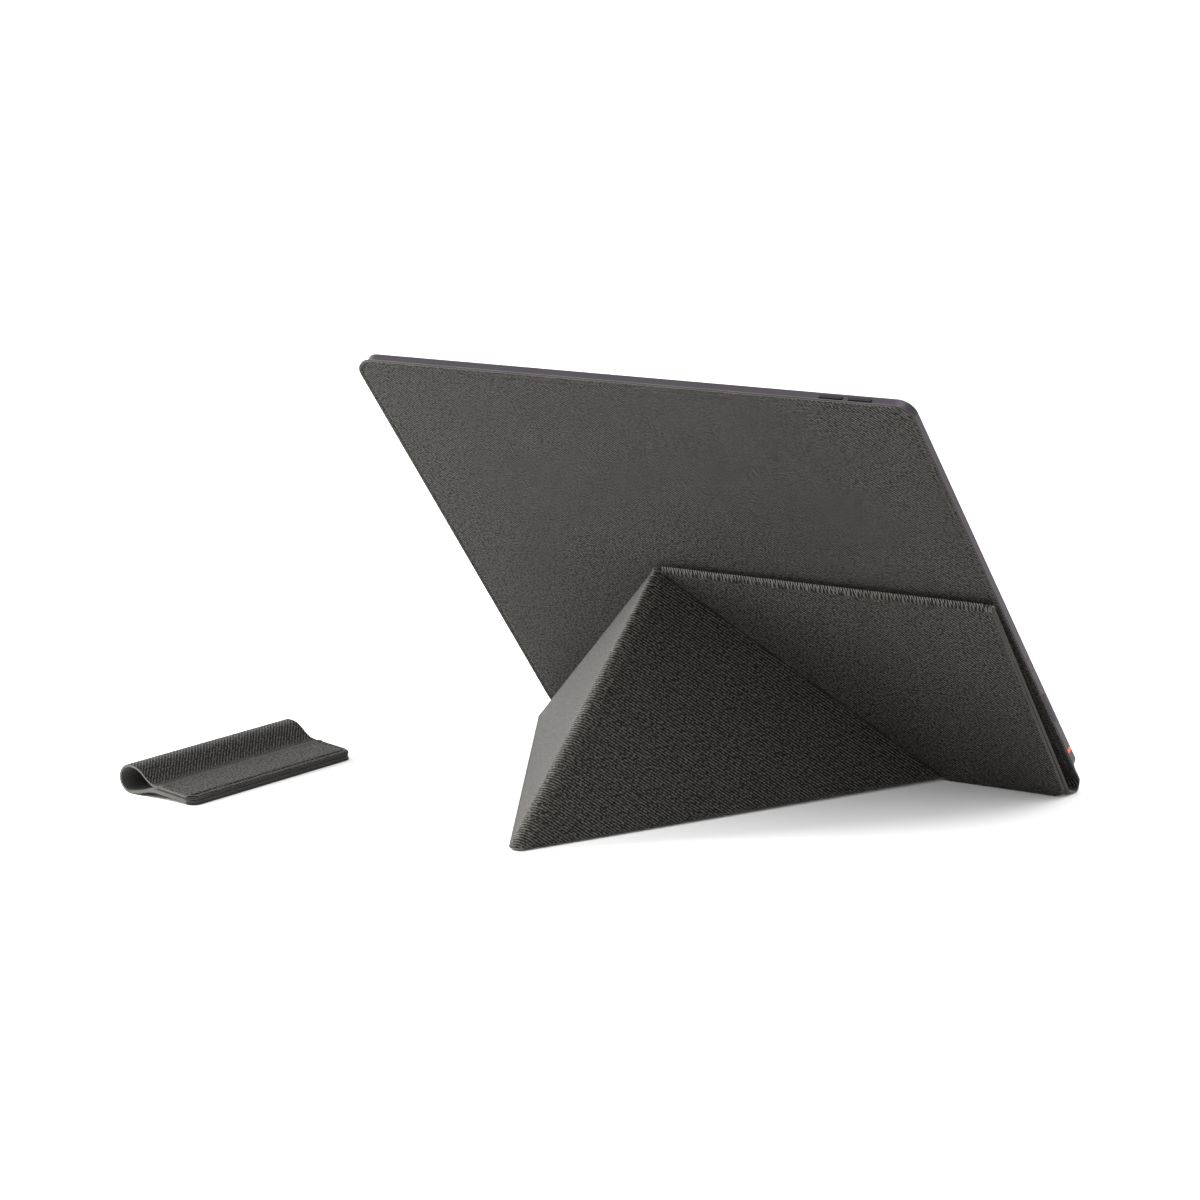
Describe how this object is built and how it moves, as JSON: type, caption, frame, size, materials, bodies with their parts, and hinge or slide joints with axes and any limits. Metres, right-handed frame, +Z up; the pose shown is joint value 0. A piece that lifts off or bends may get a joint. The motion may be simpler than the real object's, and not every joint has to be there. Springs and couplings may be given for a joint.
{
  "type": "e-ink tablet with folding cover",
  "caption": "Thin e-ink tablet standing on its own creased magnetic cover, whose lid folds into a tent behind it, with a separate magnetic pen loop.",
  "frame": {"origin": "on the ground, under the centre of the whole set's bounding box", "axes": "+X along the tablet's long edge, to the right as seen from behind; +Y towards the side the screen faces; +Z up"},
  "size_m": [0.381, 0.2296, 0.2009],
  "materials": {
    "anodised_aluminium": "bead-blasted and anodised dark grey",
    "orange_accent": "satin",
    "cover_glass": "etched, anti-glare",
    "clear_film": "clear",
    "e_paper": "matt, paper-like",
    "circuit_board": "solder mask",
    "frame_metal": "matt black coated magnesium",
    "steel": "bright",
    "battery_foil": "satin pouch foil",
    "flex_film": "amber film",
    "black_plastic": "moulded",
    "magnet": "nickel plated",
    "cover_twill": "fine twill weave",
    "cover_lining": "brushed microfibre",
    "cover_board": "fibre board, pale cut edge",
    "crease_fabric": "soft ribbed fabric"
  },
  "bodies": {
    "tablet": {"rear_housing": "anodised_aluminium", "cover_glass": "cover_glass", "touch_sensor": "clear_film", "front_light_guide": "clear_film", "front_light_strip": "flex_film", "e_paper_panel": "e_paper", "pen_digitiser": "circuit_board", "grip_spacer": "black_plastic", "mid_frame": "frame_metal", "frame_screws": "steel", "main_board": "circuit_board", "shield_cans": "steel", "usb_c_port": "steel", "battery_cells": "battery_foil", "battery_flex": "flex_film", "display_flex": "flex_film", "speakers": "black_plastic", "microphones": "steel", "key_switches": "black_plastic", "key_flex": "flex_film", "antenna_flex": "flex_film", "tablet_magnets": "magnet", "accent_strip": "orange_accent"},
    "power_button": {"power_button": "anodised_aluminium"},
    "volume_up_button": {"volume_up_button": "anodised_aluminium"},
    "volume_down_button": {"volume_down_button": "anodised_aluminium"},
    "back_panel": {"back_panel_lining": "cover_lining", "back_panel_core": "cover_board", "back_panel_magnets": "magnet", "back_panel_twill": "cover_twill"},
    "spine_upper": {"spine_upper_strip": "crease_fabric"},
    "spine_lower": {"spine_lower_strip": "crease_fabric"},
    "inner_panel": {"inner_panel_twill": "cover_twill", "inner_panel_core": "cover_board", "inner_panel_lining": "cover_lining", "inner_panel_magnets": "magnet", "midline_crease": "crease_fabric", "side_crease": "crease_fabric"},
    "outer_panel": {"outer_panel_twill": "cover_twill", "outer_panel_core": "cover_board", "outer_panel_lining": "cover_lining", "outer_panel_magnets": "magnet", "front_crease": "crease_fabric"},
    "side_panel": {"side_panel_twill": "cover_twill", "side_panel_core": "cover_board", "side_panel_lining": "cover_lining", "ridge_crease": "crease_fabric"},
    "front_panel": {"front_panel_twill": "cover_twill", "front_panel_core": "cover_board", "front_panel_lining": "cover_lining"},
    "pen_loop": {"pen_loop_sleeve": "cover_twill", "pen_loop_lower_plate": "steel"},
    "pen_loop_flap": {"pen_loop_flap": "cover_twill", "pen_loop_upper_plate": "magnet"}
  },
  "joints": [
    {"name": "power_press", "type": "slide", "parent": "tablet", "child": "power_button", "axis": [-1, 0, 0], "range_m": [0, 0.00035], "stiffness_N_per_m": 2500},
    {"name": "volume_up_press", "type": "slide", "parent": "tablet", "child": "volume_up_button", "axis": [0, 0.6208, -0.784], "range_m": [0, 0.00035], "stiffness_N_per_m": 2500},
    {"name": "volume_down_press", "type": "slide", "parent": "tablet", "child": "volume_down_button", "axis": [0, 0.6208, -0.784], "range_m": [0, 0.00035], "stiffness_N_per_m": 2500},
    {"name": "cover_slide", "type": "slide", "parent": "tablet", "child": "back_panel", "axis": [0, 0.6208, -0.784], "range_m": [0, 0.06]},
    {"name": "back_edge_hinge", "type": "hinge", "parent": "back_panel", "child": "spine_upper", "pos_m": [-0.09878, 0.11171, 0.00499], "axis": [1, 0, 0], "range_deg": [0, 101.26]},
    {"name": "spine_fold", "type": "hinge", "parent": "spine_upper", "child": "spine_lower", "pos_m": [-0.09878, 0.10918, 0.00022], "axis": [1, 0, 0], "range_deg": [0, 190.52]},
    {"name": "lid_hinge", "type": "hinge", "parent": "spine_lower", "child": "inner_panel", "pos_m": [-0.09878, 0.10093, 0.00226], "axis": [1, 0, 0], "range_deg": [0, 70.96]},
    {"name": "midline_fold", "type": "hinge", "parent": "inner_panel", "child": "outer_panel", "pos_m": [0.01642, 0.02963, 0.10003], "axis": [-1, 0, 0], "range_deg": [0, 179.5], "deforming": ["midline_crease"]},
    {"name": "side_fold", "type": "hinge", "parent": "inner_panel", "child": "side_panel", "pos_m": [0.01642, 0.02963, 0.10003], "axis": [-0.6951, 0.4188, -0.5843], "range_deg": [0, 93.32], "deforming": ["side_crease", "ridge_crease"]},
    {"name": "front_fold", "type": "hinge", "parent": "outer_panel", "child": "front_panel", "pos_m": [0.01642, 0.02963, 0.10003], "axis": [0.6743, 0.4249, -0.6039], "range_deg": [0, 91.79], "deforming": ["front_crease"]},
    {"name": "pen_loop_lift", "type": "slide", "parent": "tablet", "child": "pen_loop", "axis": [0, 0, 1], "range_m": [0, 0.1]},
    {"name": "pen_loop_flap_lift", "type": "hinge", "parent": "pen_loop", "child": "pen_loop_flap", "pos_m": [-0.16151, -0.05956, 0.00555], "axis": [-0.0785, -0.9969, 0], "range_deg": [0, 40]}
  ],
  "couplings": [
    {"joint": "spine_fold", "follows": "back_edge_hinge", "ratio": 1.8815},
    {"joint": "lid_hinge", "follows": "back_edge_hinge", "ratio": 0.7008},
    {"joint": "midline_fold", "follows": "back_edge_hinge", "ratio": 1.7726},
    {"joint": "side_fold", "follows": "back_edge_hinge", "ratio": 0.92156},
    {"joint": "front_fold", "follows": "back_edge_hinge", "ratio": 0.90651}
  ]
}
